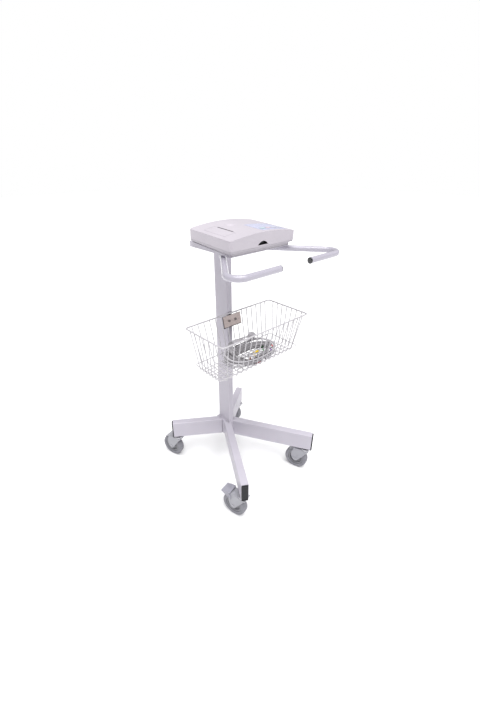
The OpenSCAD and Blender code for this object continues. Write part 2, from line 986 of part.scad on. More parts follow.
module lower_case() {
  post_r = 4;
  color(case_white)
    at_recorder() {
      difference() {
        union() {
          intersection() {
            translate([0, 0, -20])
              linear_extrude(height = 20 + rec_wall)
                rounded(base_x, base_back, shell_corner);
            translate([-base_x - 1, 0, 0])
              rotate([90, 0, 90])
                linear_extrude(height = 2 * base_x + 2)
                  polygon([[-base_front - 1, -base_front_h], [base_back + 1, -base_rear_h],
                    [base_back + 1, 10], [-base_front - 1, 10]]);
          }
          linear_extrude(height = seam_z)
            rounded(rec_x - seam_inset, rec_y - seam_inset, shell_corner);
        }
        intersection() {
          translate([0, 0, -20])
            linear_extrude(height = 40)
              rounded(base_x - rec_wall, base_back - rec_wall, shell_corner - 2);
          translate([-base_x - 1, 0, 0])
            rotate([90, 0, 90])
              linear_extrude(height = 2 * base_x + 2)
                polygon([[-base_front - 1, -base_front_h + rec_wall], [base_back + 1, -base_rear_h + rec_wall],
                  [base_back + 1, 20], [-base_front - 1, 20]]);
        }
      }
      for (x = [-50, 118])
        for (y = [-78, 72])
          translate([x, y, case_floor(y) + 1])
            cylinder(h = board_z - case_floor(y) - 1, r = post_r, $fn = fine);
      for (s = [-1, 1]) {
        low = case_floor(s * paper_w / 2) + 1.4;
        translate([roll_x - 7, s * (paper_w / 2 + roll_post_gap + 1.5) - 1.5, low])
          cube([14, 3, roll_z + 7 - low]);
        translate([roll_x, s * (paper_w / 2 - 3), roll_z])
          rotate([90, 0, 0])
            cylinder(h = 12, r = core_r, center = true, $fn = fine);
        translate([platen_x - 5, s * (paper_w / 2 + roll_post_gap + 4) - 1.5, low])
          cube([10, 3, platen_z + 4 - low]);
        translate([platen_x, s * (paper_w / 2 + 1.4), platen_z])
          rotate([90, 0, 0])
            cylinder(h = 8.6, r = platen_pin_r, center = true, $fn = fine);
      }
    }
}

module recorder_feet() {
  color(black)
    at_column()
      intersection() {
        for (x = [-96, 96])
          for (y = [-170, -30])
            translate([x, y, tray_z + 2])
              cylinder(h = 27, r = 8, $fn = fine);
        difference() {
          translate([-rec_x, -2 * rec_y, tray_z])
            cube([2 * rec_x, 2 * rec_y, 30]);
          tray_wedge(-1, -eps - 0.02);
          translate([0, -rec_off, rec_z])
            rotate([rec_tilt, 0, 0])
              translate([-rec_x, 0, 0])
                rotate([90, 0, 90])
                  linear_extrude(height = 2 * rec_x)
                    polygon([[-base_front - 40, -base_front_h - (base_front_h - base_rear_h) * 39 / 184],
                      [base_back + 40, -base_rear_h + (base_front_h - base_rear_h) * 39 / 184],
                      [base_back + 40, 60], [-base_front - 40, 60]]);
        }
      }
}

module paper_door() {
  mid_y = (door_y0 + door_y1) / 2;
  half = (door_y1 - door_y0) / 2;
  color(shell_white)
    at_recorder()
      difference() {
        union() {
          intersection() {
            difference() {
              arch_block(arch_r, rec_x, rec_y, 0);
              arch_block(arch_r - rec_wall + 0.4, rec_x - 1, rec_y - 1, -1);
            }
            translate([door_x0, door_y0, rec_h - 6])
              cube([door_x1 - door_x0, door_y1 - door_y0, 20]);
          }
          translate([door_x0, mid_y, door_axis_z])
            rotate([90, 0, 0])
              cylinder(h = 2 * half, r = door_barrel_r, center = true, $fn = fine);
        }
        for (s = [-1, 1])
          translate([door_x0, mid_y + s * half, door_axis_z])
            rotate([90, 0, 0])
              cylinder(h = 9, r = door_pin_r + 0.06, center = true, $fn = fine);
      }
}

module paper_roll() {
  color(paper_white)
    at_recorder()
      translate([roll_x, 0, roll_z])
        rotate([90, 0, 0])
          rotate_extrude($fn = 2 * fine)
            polygon([[core_r + run_gap, -paper_w / 2], [roll_r, -paper_w / 2], [roll_r, paper_w / 2],
              [core_r + run_gap, paper_w / 2]]);
}

module platen_roller() {
  color(black)
    at_recorder()
      translate([platen_x, 0, platen_z])
        rotate([90, 0, 0])
          rotate_extrude($fn = fine)
            polygon([[0, -paper_w / 2 + 4], [platen_pin_r + run_gap, -paper_w / 2 + 4],
              [platen_pin_r + run_gap, -paper_w / 2], [platen_r, -paper_w / 2], [platen_r, paper_w / 2],
              [platen_pin_r + run_gap, paper_w / 2], [platen_pin_r + run_gap, paper_w / 2 - 4],
              [0, paper_w / 2 - 4]]);
}

module print_head() {
  color(steel_grey)
    at_recorder()
      translate([platen_x + platen_r + 0.6, -paper_w / 2, -4.3])
        cube([5, paper_w, 40.3]);
}

module circuit_board() {
  color(board_green)
    at_recorder() {
      translate([-56, -84, board_z])
        cube([180, 162, board_t]);
      for (p = [[-20, 20, 30, 24, 4], [30, 40, 20, 20, 3], [70, 20, 14, 36, 5], [0, -20, 16, 16, 3]])
        translate([p[0], p[1], board_z + board_t - eps])
          cube([p[2], p[3], p[4]]);
    }
}

module battery_pack() {
  color(key_blue)
    at_recorder()
      translate([-40, -66, -5.5])
        cube([72, 60, 21.5]);
}

module power_supply() {
  color(stainless)
    at_recorder()
      translate([-30, 6, -3.7])
        cube([100, 56, 19.7]);
}

module key_panel() {
  color(key_blue)
    at_recorder()
      difference() {
        intersection() {
          difference() {
            arch_block(arch_r + pad_t, rec_x, rec_y, 0);
            arch_block(arch_r + 0.02, rec_x + 1, rec_y + 1, -1);
          }
          translate([pad_x0, pad_y0, rec_h])
            cube([pad_x1 - pad_x0, pad_y1 - pad_y0, 20]);
        }
        for (x = key_xs)
          translate([x - key_w / 2 - key_play, key_y - key_d / 2 - key_play, rec_h])
            cube([key_w + 2 * key_play, key_d + 2 * key_play, 30]);
      }
}

module key(x) {
  under = arch_at(x + key_w / 2 + 2) - rec_wall - 0.15;
  top = arch_at(x) + pad_t + key_travel + 0.5;
  translate([x, key_y, 0]) {
    translate([0, 0, under - 1.2])
      linear_extrude(height = top - under + 1.2)
        rounded(key_w / 2, key_d / 2, 2);
    translate([0, 0, under - 1.6])
      linear_extrude(height = 1.6)
        rounded(key_w / 2 + 1.6, key_d / 2 + 1.6, 2);
  }
}

module key_start() {
  color([0.74, 0.84, 0.84])
    at_recorder()
      key(key_xs[0]);
}

module key_stop() {
  color([0.88, 0.8, 0.85])
    at_recorder()
      key(key_xs[1]);
}

module key_mode() {
  color(case_white)
    at_recorder()
      key(key_xs[2]);
}

module key_power() {
  color(case_white)
    at_recorder()
      key(key_xs[3]);
}

module patient_socket() {
  color(black)
    at_recorder() {
      difference() {
        translate([recess_x - 25, -rec_y + rec_wall + 0.1, recess_z - 2.5])
          cube([50, 10, recess_rise + 6]);
        recess_cut(rec_y - 1, 9.6);
      }
      translate([recess_x - 11, -rec_y + 6.6, recess_z + 1.4])
        cube([22, 5, 6]);
    }
}

module mains_inlet() {
  color(black)
    at_recorder()
      translate([inlet_x, rec_y, 16.5])
        rotate([90, 0, 0])
          difference() {
            union() {
              translate([-14, -10, -0.06])
                cube([28, 20, 14.06]);
              translate([-16, -12, -1.5])
                cube([32, 24, 1.45]);
            }
            translate([-12, -8, -2])
              cube([24, 16, 13]);
          }
}

module mains_switch() {
  color(black)
    at_recorder()
      translate([switch_x, switch_y, 16])
        rotate([0, 90, 0]) {
          translate([0, 0, -6])
            linear_extrude(height = 12)
              polygon([[-6.6, 1.4], [0, 2.4], [6.6, 3.6], [7, -0.8], [5.4, -4.2], [-5.4, -4.2], [-7, -0.8]]);
          translate([0, 0, -7.8])
            cylinder(h = 15.6, r = switch_pin_r, $fn = fine);
        }
}

// Patient cable

module stadium(x, y) {
  square([2 * (x - y), 2 * y], center = true);
  for (s = [-1, 1])
    translate([s * (x - y), 0])
      circle(r = y, $fn = 2 * fine);
}

module patient_cable_coil() {
  color(cable_grey)
    at_column()
      translate([coil_mid_x, coil_mid_y, coil_z])
        intersection() {
          linear_extrude(height = coil_h + coil_rise)
            difference() {
              stadium(coil_x, coil_y);
              stadium(coil_x - coil_band, coil_y - coil_band);
            }
          translate([-coil_x - 1, 0, 0])
            rotate([90, 0, 90])
              linear_extrude(height = 2 * coil_x + 2)
                polygon([[-coil_y - 1, 0], [coil_y + 1, 0], [coil_y + 1, coil_h + coil_rise],
                  [-coil_y - 1, coil_h - coil_rise]]);
        }
}

module on_coil(x) {
  at_column()
    translate([coil_mid_x + x, coil_mid_y + coil_ride_y, coil_z + coil_ride_z])
      rotate([coil_tilt, 0, 0])
        translate([0, 0, 0.1])
          children();
}

module cable_yoke() {
  color(cable_grey)
    on_coil(-30)
      linear_extrude(height = 10)
        rounded(21, 10, 3);
}

module cable_plug() {
  color(cable_grey)
    on_coil(40)
      linear_extrude(height = 15)
        rounded(21, 13, 3);
}

base_hub();
leg_front_left();
leg_front_right();
leg_rear_left();
leg_rear_right();
leg_caps();
column();
column_bolts();
head_plate();
tray();
underframe_screws();
handle_left();
handle_right();
handle_caps();
handle_saddles();
basket_rim();
basket_back();
basket_front();
basket_left();
basket_right();
basket_floor();
basket_clamp_plate();
basket_wedge();
basket_screws();
caster_stems();
fork_front_left();
fork_front_right();
fork_rear_left();
fork_rear_right();
wheel_front_left();
wheel_front_right();
wheel_rear_left();
wheel_rear_right();
tyre_front_left();
tyre_front_right();
tyre_rear_left();
tyre_rear_right();
pedal_front_left();
pedal_rear_right();
lower_case();
upper_shell();
recorder_feet();
paper_door();
paper_roll();
platen_roller();
print_head();
circuit_board();
battery_pack();
power_supply();
key_panel();
key_start();
key_stop();
key_mode();
key_power();
patient_socket();
mains_inlet();
mains_switch();
patient_cable_coil();
cable_yoke();
cable_plug();
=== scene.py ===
"""ECG recorder on a four-leg trolley: the looks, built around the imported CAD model.

Metres, +Z up, origin on the floor. The user stands on the -Y side.
"""

import math

import bmesh
import bpy
from mathutils import Euler, Matrix, Vector


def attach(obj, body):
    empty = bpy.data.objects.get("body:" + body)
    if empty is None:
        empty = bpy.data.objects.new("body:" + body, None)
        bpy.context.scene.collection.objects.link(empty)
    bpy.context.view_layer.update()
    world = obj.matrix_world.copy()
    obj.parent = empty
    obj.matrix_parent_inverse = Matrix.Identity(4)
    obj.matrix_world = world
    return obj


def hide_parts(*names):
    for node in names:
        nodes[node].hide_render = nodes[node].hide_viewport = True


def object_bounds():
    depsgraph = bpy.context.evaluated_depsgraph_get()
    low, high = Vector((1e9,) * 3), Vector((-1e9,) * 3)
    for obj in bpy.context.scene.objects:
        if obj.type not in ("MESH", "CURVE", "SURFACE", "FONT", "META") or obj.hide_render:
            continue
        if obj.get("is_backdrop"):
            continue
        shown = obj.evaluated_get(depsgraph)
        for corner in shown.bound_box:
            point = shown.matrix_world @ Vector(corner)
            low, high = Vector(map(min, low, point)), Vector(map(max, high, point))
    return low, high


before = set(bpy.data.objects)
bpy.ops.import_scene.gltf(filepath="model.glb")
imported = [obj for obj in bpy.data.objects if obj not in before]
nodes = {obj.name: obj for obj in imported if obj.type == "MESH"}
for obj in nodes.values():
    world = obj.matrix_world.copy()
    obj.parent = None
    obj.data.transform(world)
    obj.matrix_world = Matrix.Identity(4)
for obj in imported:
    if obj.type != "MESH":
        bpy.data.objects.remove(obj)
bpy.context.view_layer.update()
MM = 0.001

# ---------------------------------------------------------------- layout, in millimetres
COL_Y = 64.35  # column axis
BASKET_Y = COL_Y - 139.5  # middle of the basket
LEG_TOP, LEG_H, LEG_W, LEG_CORNER = 200.0, 78.0, 30.0, 3.2
LEG_FROM = 22.0  # the tubes start inside the hub, this far from the column axis
LEGS = {  # the way each leg points, in degrees from +X, and how far its tube reaches
    "front_left": (180 + 59.6, 388.0),
    "front_right": (-59.6, 388.0),
    "rear_left": (180 - 34.2, 241.0),
    "rear_right": (34.2, 241.0),
}
RIM_X, RIM_Y, RIM_Z, RIM_R = 204.0, 99.0, 721.0, 2.8  # basket rim
FLOOR_X, FLOOR_Y, FLOOR_Z, WIRE_R = 185.5, 66.0, 571.0, 1.75  # basket floor

# ---------------------------------------------------------------- camera
CAMERA_AT = (-0.78713, -0.96138 + COL_Y * MM, 1.2241)  # metres
CAMERA_TURN = (90 - 30.26, 0, -42.15)  # degrees about X, Y and Z
CAMERA_LENS, CAMERA_SENSOR = 17.46, 36  # millimetres

camera = bpy.data.objects.new("camera", bpy.data.cameras.new("camera"))
bpy.context.scene.collection.objects.link(camera)
camera.location = CAMERA_AT
camera.rotation_euler = Euler([math.radians(a) for a in CAMERA_TURN])
camera.data.lens = CAMERA_LENS
camera.data.sensor_width = CAMERA_SENSOR
camera.data.clip_start = 0.01
camera.data.clip_end = 60
bpy.context.scene.camera = camera


# ---------------------------------------------------------------- materials
NOISE_LOW, NOISE_HIGH = 0.35, 0.65  # most of the noise lies between these
# Noise scales of patches in the colour and in the gloss, and bump distances in metres
COAT_PATCHES, COAT_GLOSS, COAT_SKIN = 9, 60, 0.0001
METAL_GLOSS, METAL_LINES = 25, 0.0001
BLOOM_PATCHES, BLOOM_GLOSS, BLOOM_SKIN = 45, 90, 0.00012


def material(name, colour, roughness, metallic=0.0, coat=0.0):
    """A Principled material and its shader node."""
    mat = bpy.data.materials.new(name)
    mat.use_nodes = True
    shader = mat.node_tree.nodes["Principled BSDF"]
    shader.inputs["Base Color"].default_value = (*colour, 1)
    shader.inputs["Roughness"].default_value = roughness
    shader.inputs["Metallic"].default_value = metallic
    shader.inputs["Coat Weight"].default_value = coat
    return mat, shader


def add(mat, kind, **values):
    """A node in mat's tree, with its named inputs set."""
    node = mat.node_tree.nodes.new(kind)
    for name, value in values.items():
        node.inputs[name.replace("_", " ")].default_value = value
    return node


def place(mat, stretch=(1, 1, 1)):
    """Object coordinates, in metres, stretched along the axes."""
    coords = add(mat, "ShaderNodeTexCoord")
    mapping = add(mat, "ShaderNodeMapping", Scale=stretch)
    mat.node_tree.links.new(coords.outputs["Object"], mapping.inputs["Vector"])
    return mapping.outputs["Vector"]


def grain(mat, scale, detail=3.0, stretch=(1, 1, 1)):
    """Noise in object space. One cell is about 1/scale metres."""
    tex = add(mat, "ShaderNodeTexNoise", Scale=scale, Detail=detail)
    mat.node_tree.links.new(place(mat, stretch), tex.inputs["Vector"])
    return tex.outputs["Fac"]


def span(mat, source, low, high):
    """Noise mapped to low..high."""
    limits = {"From_Min": NOISE_LOW, "From_Max": NOISE_HIGH, "To_Min": low, "To_Max": high}
    node = add(mat, "ShaderNodeMapRange", **limits)
    mat.node_tree.links.new(source, node.inputs["Value"])
    return node.outputs["Result"]


def tint(mat, shader, source, first, second):
    """Base colour that goes from first to second with the noise in source."""
    node = mat.node_tree.nodes.new("ShaderNodeMix")
    node.data_type = "RGBA"
    node.inputs[6].default_value = (*first, 1)
    node.inputs[7].default_value = (*second, 1)
    mat.node_tree.links.new(span(mat, source, 0, 1), node.inputs[0])
    mat.node_tree.links.new(node.outputs[2], shader.inputs["Base Color"])


def gloss(mat, shader, source, low, high):
    """Roughness that goes from low to high with the noise in source."""
    mat.node_tree.links.new(span(mat, source, low, high), shader.inputs["Roughness"])


def bump(mat, shader, height, strength, distance):
    """Relief from the noise in height."""
    node = add(mat, "ShaderNodeBump", Strength=strength, Distance=distance)
    mat.node_tree.links.new(height, node.inputs["Height"])
    mat.node_tree.links.new(node.outputs["Normal"], shader.inputs["Normal"])


def shade(colour, share):
    """colour, darkened to share of its brightness."""
    return tuple(c * share for c in colour)


def coated(name, colour, darker, roughness=0.4, peel=700, depth=0.5, coat=0.0):
    """Powder coat or moulded plastic: faint patches, a fine skin and slightly uneven gloss."""
    mat, shader = material(name, colour, roughness, coat=coat)
    tint(mat, shader, grain(mat, COAT_PATCHES), colour, darker)
    gloss(mat, shader, grain(mat, COAT_GLOSS), roughness - 0.05, roughness + 0.07)
    bump(mat, shader, grain(mat, peel, 2), depth, COAT_SKIN)
    return mat


def metal(name, colour, roughness, stretch=(1, 1, 1), scale=180):
    """Plated or brushed metal, with lines along the axis that is stretched least."""
    mat, shader = material(name, colour, roughness, metallic=1.0)
    lines = grain(mat, scale, 4, stretch)
    tint(mat, shader, lines, colour, shade(colour, 0.82))
    gloss(mat, shader, grain(mat, METAL_GLOSS), roughness - 0.08, roughness + 0.1)
    bump(mat, shader, lines, 0.25, METAL_LINES)
    return mat


def rubbery(name, colour, dusty, roughness=0.62, scale=420):
    """Rubber or soft plastic with a dusty bloom."""
    mat, shader = material(name, colour, roughness)
    tint(mat, shader, grain(mat, BLOOM_PATCHES, 5), colour, dusty)
    gloss(mat, shader, grain(mat, BLOOM_GLOSS), roughness - 0.08, roughness + 0.08)
    bump(mat, shader, grain(mat, scale), 0.35, BLOOM_SKIN)
    return mat


PAINT = coated("paint", (0.498, 0.473, 0.535), (0.477, 0.452, 0.515), 0.36)
HANDLE = coated(
    "handle_paint", (0.43, 0.41, 0.475), (0.415, 0.395, 0.46), 0.2, 700, 0.1, coat=0.3
)
WIRE = coated("wire_coat", (0.53, 0.515, 0.54), (0.48, 0.465, 0.49), 0.36, 1200, 0.3)
BLACK = coated("black_plastic", (0.01, 0.01, 0.013), (0.016, 0.016, 0.02), 0.5, 1500)
# The black plastic throws back less of the overhead light than a usual one.
BLACK.node_tree.nodes["Principled BSDF"].inputs["Specular IOR Level"].default_value = 0.25
GLOSS_BLACK = coated(
    "black_cap", (0.012, 0.012, 0.016), (0.02, 0.02, 0.024), 0.16, 1500, 0.2, coat=0.4
)
SHELL = coated("shell_plastic", (0.54, 0.502, 0.553), (0.515, 0.48, 0.53), 0.42, 1900, 0.6)
CASE = coated("case_plastic", (0.468, 0.441, 0.484), (0.448, 0.421, 0.464), 0.46, 1900, 0.6)
PANEL = coated("panel_film", (0.554, 0.563, 0.722), (0.521, 0.533, 0.697), 0.24, 2600, 0.3)
CLAMP_BLACK = coated("clamp_block", (0.05, 0.048, 0.055), (0.04, 0.038, 0.045), 0.5, 900)
DARK_STEEL = metal("dark_steel", (0.22, 0.2, 0.2), 0.42)
ZINC = metal("zinc", (0.66, 0.66, 0.69), 0.34)
STAINLESS = metal("stainless", (0.55, 0.47, 0.455), 0.36, (0.06, 1, 1), 900)
CASTER = coated("caster_plastic", (0.35, 0.35, 0.382), (0.322, 0.322, 0.353), 0.4, 900)
TYRE = rubbery("tyre_rubber", (0.19, 0.188, 0.215), (0.23, 0.228, 0.255), 0.6)
PEDAL = rubbery("pedal_plastic", (0.28, 0.275, 0.325), (0.32, 0.315, 0.365), 0.5)
HUB = coated("wheel_hub", (0.24, 0.24, 0.26), (0.2, 0.2, 0.22), 0.5, 900)
RUBBER = rubbery("rubber", (0.02, 0.02, 0.021), (0.04, 0.04, 0.042), 0.7)
PAPER = coated("paper", (0.788, 0.76, 0.722), (0.76, 0.731, 0.694), 0.85, 2600, 0.3)
BOARD = coated("board", (0.03, 0.16, 0.07), (0.02, 0.12, 0.05), 0.35, 1500)
WRAP = coated("battery_wrap", (0.12, 0.2, 0.4), (0.1, 0.17, 0.35), 0.3, 1500)
SHEATH = rubbery("cable_sheath", (0.46, 0.445, 0.47), (0.52, 0.505, 0.53), 0.35, 900)
# The leads' sheath is the trunk's grey made darker: painted shade for the coil's inner wall and
# the gaps between the strands.
SHADED_LEAD = rubbery("lead_sheath_painted_shade", (0.32, 0.307, 0.325), (0.37, 0.357, 0.375), 0.4, 900)
BOOT = rubbery("cable_boot", (0.4, 0.385, 0.41), (0.46, 0.445, 0.47), 0.45, 900)
KEY_GREY = coated("key_grey", (0.521, 0.529, 0.605), (0.504, 0.512, 0.588), 0.35, 1900)
KEY_GREEN = coated("key_green", (0.47, 0.588, 0.622), (0.445, 0.563, 0.596), 0.35, 1900)
KEY_RED = coated("key_red", (0.622, 0.521, 0.588), (0.596, 0.496, 0.563), 0.35, 1900)


# ---------------------------------------------------------------- mesh helpers
def finish_mesh(name, bm, mat, body="trolley", bevel=0.0, segments=2, angle=35):
    """A piece from bm, shaded smooth, with its sharp edges rounded by bevel metres."""
    mesh = bpy.data.meshes.new(name)
    bmesh.ops.recalc_face_normals(bm, faces=bm.faces)
    bm.to_mesh(mesh)
    bm.free()
    mesh.shade_smooth()
    mesh.set_sharp_from_angle(angle=math.radians(angle))
    mesh.materials.append(mat)
    obj = bpy.data.objects.new(name, mesh)
    bpy.context.scene.collection.objects.link(obj)
    round_edges(obj, bevel, segments, angle)
    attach(obj, body)
    return obj


def round_edges(obj, width, segments=2, angle=35):
    """Rounds the edges sharper than angle and keeps flat faces flat in the shading."""
    if width:
        rounding = obj.modifiers.new("rounded", "BEVEL")
        rounding.width = width
        rounding.segments = segments
        rounding.limit_method = "ANGLE"
        rounding.angle_limit = math.radians(angle)
        rounding.miter_outer = "MITER_ARC"
    normals = obj.modifiers.new("normals", "WEIGHTED_NORMAL")
    normals.keep_sharp = True
    normals.weight = 80


def keep(name, mat, bevel=0.0, segments=2, angle=35):
    """A CAD node that stays, with a better material and softened edges."""
    obj = nodes[name]
    obj.data.materials.clear()
    obj.data.materials.append(mat)
    if bevel:
        weld = obj.modifiers.new("weld", "WELD")
        weld.merge_threshold = 2e-5
        round_edges(obj, bevel, segments, angle)
    return obj


def add_tube(bm, points, radius, sides=10, closed=False):
    """Sweeps a circle along points. radius is one number, or one for each point."""
    count = len(points)
    radii = radius if isinstance(radius, (list, tuple)) else [radius] * count
    rings = []
    side = None
    for i, point in enumerate(points):
        if closed:
            along = points[(i + 1) % count] - points[i - 1]
        else:
            along = points[min(i + 1, count - 1)] - points[max(i - 1, 0)]
        along = along.normalized()
        if side is None:
            side = along.orthogonal().normalized()
        side = (side - along * side.dot(along)).normalized()
        up = along.cross(side)
        ring = []
        for k in range(sides):
            a = 2 * math.pi * k / sides
            ring.append(bm.verts.new(point + (side * math.cos(a) + up * math.sin(a)) * radii[i]))
        rings.append(ring)
    last = count if closed else count - 1
    for i in range(last):
        a, b = rings[i], rings[(i + 1) % count]
        for k in range(sides):
            bm.faces.new((a[k], a[(k + 1) % sides], b[(k + 1) % sides], b[k]))
    if not closed:
        bm.faces.new(rings[0][::-1])
        bm.faces.new(rings[-1])


def in_metres(pairs):
    """Pairs of millimetres, in metres."""
    return [(a * MM, b * MM) for a, b in pairs]


def moved(x, y, z):
    """Matrix of a move, in mm."""
    return Matrix.Translation(Vector((x, y, z)) * MM)


def turned(degrees, axis):
    """Matrix of a turn about an axis."""
    return Matrix.Rotation(math.radians(degrees), 4, axis)


def add_lathe(bm, profile, steps, place_at):
    """Turns (radius, height) pairs, in mm, about local Z. A radius of 0 closes the end."""
    turns = [2 * math.pi * k / steps for k in range(steps)]
    rings = []
    for radius, height in in_metres(profile):
        ring = [(radius * math.cos(a), radius * math.sin(a), height) for a in turns]
        if radius == 0:
            ring = [(0, 0, height)]
        rings.append([bm.verts.new(place_at @ Vector(at)) for at in ring])
    for a, b in zip(rings, rings[1:]):
        for k in range(steps):
            j = (k + 1) % steps
            if len(a) == 1:
                bm.faces.new((a[0], b[k], b[j]))
            elif len(b) == 1:
                bm.faces.new((a[k], a[j], b[0]))
            else:
                bm.faces.new((a[k], a[j], b[j], b[k]))
    for ring in (rings[0][::-1], rings[-1]):
        if len(ring) > 1:
            bm.faces.new(ring)


def add_prism(bm, outline, height, place_at):
    """Extrudes a flat outline from local z 0 to height, all in mm."""
    corners = in_metres(outline)
    low = [bm.verts.new(place_at @ Vector((x, y, 0))) for x, y in corners]
    high = [bm.verts.new(place_at @ Vector((x, y, height * MM))) for x, y in corners]
    count = len(corners)
    bm.faces.new(low[::-1])
    bm.faces.new(high)
    for i in range(count):
        j = (i + 1) % count
        bm.faces.new((low[i], low[j], high[j], high[i]))


def rounded_box(x, y, r, steps=5):
    """Outline of a rectangle of half sizes x and y, with corners of radius r."""
    outline = []
    for sx, sy, start in ((1, 1, 0), (-1, 1, 90), (-1, -1, 180), (1, -1, 270)):
        for k in range(steps + 1):
            a = math.radians(start + 90 * k / steps)
            outline.append((sx * (x - r) + r * math.cos(a), sy * (y - r) + r * math.sin(a)))
    return outline


def along(start, end, up=(0, 0, 1)):
    """Matrix whose local Z runs from start towards end."""
    z = (Vector(end) - Vector(start)).normalized()
    x = Vector(up).cross(z)
    if x.length < 1e-6:
        x = z.orthogonal()
    x.normalize()
    y = z.cross(x)
    return Matrix.Translation(start) @ Matrix((x, y, z)).transposed().to_4x4()


def bend_corner(before, corner, after, radius, steps=6):
    """Points of a round bend at corner, for a path that comes from before and goes to after."""
    a = (Vector(before) - Vector(corner)).normalized()
    b = (Vector(after) - Vector(corner)).normalized()
    half = a.angle(b) / 2
    reach = radius / math.tan(half)
    centre = Vector(corner) + (a + b).normalized() * (radius / math.sin(half))
    start = Vector(corner) + a * reach - centre
    end = Vector(corner) + b * reach - centre
    turn = start.angle(end)
    axis = start.cross(end).normalized()
    return [centre + Matrix.Rotation(turn * k / steps, 3, axis) @ start for k in range(steps + 1)]


# ---------------------------------------------------------------- patient cable in the basket
COIL_AT = Vector((10, BASKET_Y, FLOOR_Z + WIRE_R + 0.3))
COIL_X, COIL_Y = 98.0, 44.5  # half sizes of the middle of the winding
COIL_SHAPE = 2.3  # exponent of the superellipse that the turns follow
PILE_RISE = 11 / 43 / 62  # the pile grows towards the rear, by this share in each millimetre
TRUNK_R, LEAD_R = 3.0, 1.6
STEPS_PER_TURN = 52
# Where the yoke and the plug lie on the pile, and the height at which the cord meets them
RIDE_Y, RIDE_Z, RIDE_TILT = 45.0, 50.7, math.atan(11 / 63)
YOKE_Z, PLUG_Z = 47.1, 49.2
WAVES_OUT, WAVES_UP = 1.37, 1.83  # waves of unevenness in each turn


def on_coil(turn, offset, z):
    """Point on the winding: turn counts from +X, offset is outwards, z is up."""
    a = 2 * math.pi * turn
    c, s = math.cos(a), math.sin(a)
    x = (COIL_X + offset) * math.copysign(abs(c) ** (2 / COIL_SHAPE), c)
    y = (COIL_Y + offset) * math.copysign(abs(s) ** (2 / COIL_SHAPE), s)
    return COIL_AT + Vector((x, y, z * (1 + PILE_RISE * y)))


def hermite(stations, t):
    """Smooth (offset, z) at t from stations of (t, offset, z)."""
    count = len(stations)
    i = max(k for k in range(count - 1) if stations[k][0] <= t)
    t0, t1 = stations[i][0], stations[i + 1][0]
    u = (t - t0) / (t1 - t0)
    values = []
    for part in (1, 2):

        def slope(k):
            a, b = stations[max(k - 1, 0)], stations[min(k + 1, count - 1)]
            return (b[part] - a[part]) / (b[0] - a[0])

        p0, p1 = stations[i][part], stations[i + 1][part]
        m0, m1 = slope(i) * (t1 - t0), slope(i + 1) * (t1 - t0)
        values.append(
            (2 * u**3 - 3 * u**2 + 1) * p0
            + (u**3 - 2 * u**2 + u) * m0
            + (3 * u**2 - 2 * u**3) * p1
            + (u**3 - u**2) * m1
        )
    return values


def winding(stations, wobble, phase):
    """Points in metres along stations, with a little of the unevenness of a hand-wound coil."""
    first, last = stations[0][0], stations[-1][0]
    count = int((last - first) * STEPS_PER_TURN)
    points = []
    for k in range(count + 1):
        t = first + (last - first) * k / count
        offset, z = hermite(stations, t)
        ease = min(1.0, 8 * (t - first), 8 * (last - t))  # even at both ends
        offset += wobble * ease * math.sin(2 * math.pi * t * WAVES_OUT + phase)
        z += 0.5 * wobble * ease * math.sin(2 * math.pi * t * WAVES_UP + 2.1 * phase)
        points.append(on_coil(t, offset, z) * MM)
    return points


def cord_curve(name, points, radius, mat, body="trolley"):
    """A round cord along points in metres, with its radius in mm."""
    data = bpy.data.curves.new(name, "CURVE")
    data.dimensions = "3D"
    data.bevel_depth = radius * MM
    data.bevel_resolution = 3
    data.use_fill_caps = True
    spline = data.splines.new("POLY")
    spline.points.add(len(points) - 1)
    for point, at in zip(spline.points, points):
        point.co = (*at, 1)
    spline.use_smooth = True
    data.materials.append(mat)
    obj = bpy.data.objects.new(name, data)
    bpy.context.scene.collection.objects.link(obj)
    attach(obj, body)
    return obj


# From the plug to the yoke: turn, offset and height
trunk_points = winding(
    [
        (0.2183, 0, PLUG_Z),
        (0.235, 4, PLUG_Z - 1.5),
        (0.27, 14, 42),
        (0.35, 15, 38),
        (0.46, 14.5, 34),
        (0.65, 13.5, 30),
        (1.0, 13.5, 26),
        (2.0, 13.5, 15),
        (3.1, 13.4, 4.4),
        (3.7, 6.8, 4.4),
        (4.4, 6.8, 14),
        (5.0, 6.5, 25),
        (5.12, 3, 33),
        (5.2, 0, 37.5),
        (5.228, -0.2, 40.5),
        (5.25, -0.2, 45.6),
        (5.267, -0.3, YOKE_Z),
    ],
    1.0,
    0.4,
)
trunk = cord_curve("patient_cable_trunk", trunk_points, TRUNK_R, SHEATH)

PALE = (0.78, 0.76, 0.78)  # the moulding of the chest leads' plugs
# name, colour, and the turn, offset and height where the lead ends
LEADS = [
    ("limb_red", (0.22, 0.01, 0.02), 2.715, 17.2, 8.0),
    ("limb_yellow", (0.92, 0.62, 0.02), 2.73, -13.0, 38.0),
    ("limb_green", (0.02, 0.06, 0.025), 2.80, -22.0, 35.0),
    ("limb_black", (0.015, 0.015, 0.018), 2.59, -5.0, 31.0),
    ("chest_red", PALE, 2.86, 2.0, 34.0),
    ("chest_yellow", PALE, 2.70, -3.0, 36.0),
    ("chest_green", PALE, 2.77, -6.0, 37.0),
    ("chest_brown", PALE, 2.66, 5.0, 36.0),
    ("chest_black", PALE, 2.752, 17.4, 12.0),
    ("chest_violet", PALE, 2.81, 8.0, 34.0),
]
BANDS = {  # coloured rings on the chest leads' plugs
    "chest_red": (0.62, 0.03, 0.03),
    "chest_yellow": (0.9, 0.62, 0.02),
    "chest_green": (0.05, 0.3, 0.09),
    "chest_brown": (0.2, 0.08, 0.03),
    "chest_black": (0.02, 0.02, 0.02),
    "chest_violet": (0.2, 0.05, 0.35),
}


